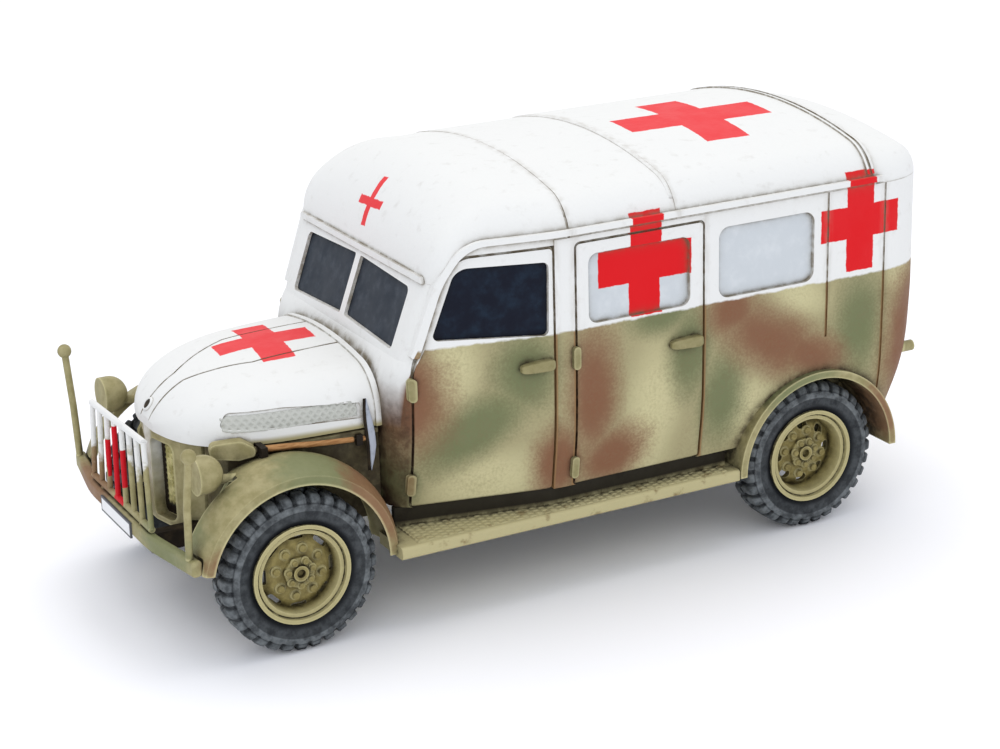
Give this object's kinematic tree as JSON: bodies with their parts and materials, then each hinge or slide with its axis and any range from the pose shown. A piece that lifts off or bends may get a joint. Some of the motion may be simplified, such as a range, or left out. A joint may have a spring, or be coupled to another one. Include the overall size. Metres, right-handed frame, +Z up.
{
  "type": "scale model military ambulance truck",
  "caption": "Small hand-painted scale model of a short-bonnet military ambulance truck with a van body, camouflage below a white top, red crosses and wheels that roll on axle stubs.",
  "frame": {"origin": "middle of the bounding box in plan, on the plane that the four tyres stand on", "axes": "+X forward along the vehicle, +Y to the vehicle's left, +Z up"},
  "size_m": [0.0661, 0.0286, 0.0331],
  "materials": {
    "camouflage_paint": "three-tone soft-sprayed camouflage below, flat white above",
    "chassis_dark": "flat dark brown-black paint",
    "dark_window": "satin slate-black paint",
    "khaki_paint": "flat khaki brush paint, dry-brushed",
    "mesh_dark": "dark wash over khaki mesh",
    "pale_window": "flat pale grey paint",
    "plate_white": "flat off-white paint",
    "tyre_black": "flat black-grey paint, dry-brushed grey",
    "wheel_khaki": "flat khaki paint with dark wash",
    "white_paint": "flat white brush paint with brown wash in the seams"
  },
  "bodies": {
    "truck": {"body_shell": "camouflage_paint", "bonnet": "white_paint", "bonnet_side_left": "khaki_paint", "bonnet_side_right": "khaki_paint", "cab_shell": "camouflage_paint", "chassis_frame": "chassis_dark", "door_handles": "khaki_paint", "door_hinges": "khaki_paint", "drip_rails": "white_paint", "drive_line": "chassis_dark", "exhaust": "chassis_dark", "floor": "chassis_dark", "front_axle": "chassis_dark", "front_bumper": "khaki_paint", "front_door_left": "camouflage_paint", "front_door_right": "camouflage_paint", "front_door_window_left": "dark_window", "front_door_window_right": "dark_window", "front_mudguard_left": "khaki_paint", "front_mudguard_right": "khaki_paint", "grille_guard": "khaki_paint", "headlight_left": "khaki_paint", "headlight_right": "khaki_paint", "number_plate": "plate_white", "radiator_mesh": "mesh_dark", "radiator_shell": "khaki_paint", "rear_axle": "chassis_dark", "rear_door_left": "camouflage_paint", "rear_door_right": "camouflage_paint", "rear_door_window_left": "pale_window", "rear_door_window_right": "pale_window", "rear_lamps": "khaki_paint", "rear_mudguard_left": "khaki_paint", "rear_mudguard_right": "khaki_paint", "roof_cab": "white_paint", "roof_front": "white_paint", "roof_middle": "white_paint", "roof_rear": "white_paint", "running_board_left": "khaki_paint", "running_board_right": "khaki_paint", "side_door_left": "camouflage_paint", "side_door_right": "camouflage_paint", "side_door_window_left": "pale_window", "side_door_window_right": "pale_window", "side_window_left": "pale_window", "side_window_right": "pale_window", "spade": "khaki_paint", "width_pole_left": "khaki_paint", "width_pole_right": "khaki_paint", "windscreen_left": "dark_window", "windscreen_right": "dark_window"},
    "wheel_set_front_left": {"tyre_front_left": "tyre_black", "wheel_front_left": "wheel_khaki"},
    "wheel_set_front_right": {"tyre_front_right": "tyre_black", "wheel_front_right": "wheel_khaki"},
    "wheel_set_rear_left": {"tyre_rear_left": "tyre_black", "wheel_rear_left": "wheel_khaki"},
    "wheel_set_rear_right": {"tyre_rear_right": "tyre_black", "wheel_rear_right": "wheel_khaki"}
  },
  "joints": [
    {"name": "front_left_wheel_spin", "type": "hinge", "parent": "truck", "child": "wheel_set_front_left", "pos_m": [0.02355, 0.0116, 0.00615], "axis": [0, 1, 0], "continuous": true},
    {"name": "front_right_wheel_spin", "type": "hinge", "parent": "truck", "child": "wheel_set_front_right", "pos_m": [0.02355, -0.0116, 0.00615], "axis": [0, 1, 0], "continuous": true},
    {"name": "rear_left_wheel_spin", "type": "hinge", "parent": "truck", "child": "wheel_set_rear_left", "pos_m": [-0.02155, 0.0116, 0.00615], "axis": [0, 1, 0], "continuous": true},
    {"name": "rear_right_wheel_spin", "type": "hinge", "parent": "truck", "child": "wheel_set_rear_right", "pos_m": [-0.02155, -0.0116, 0.00615], "axis": [0, 1, 0], "continuous": true}
  ]
}
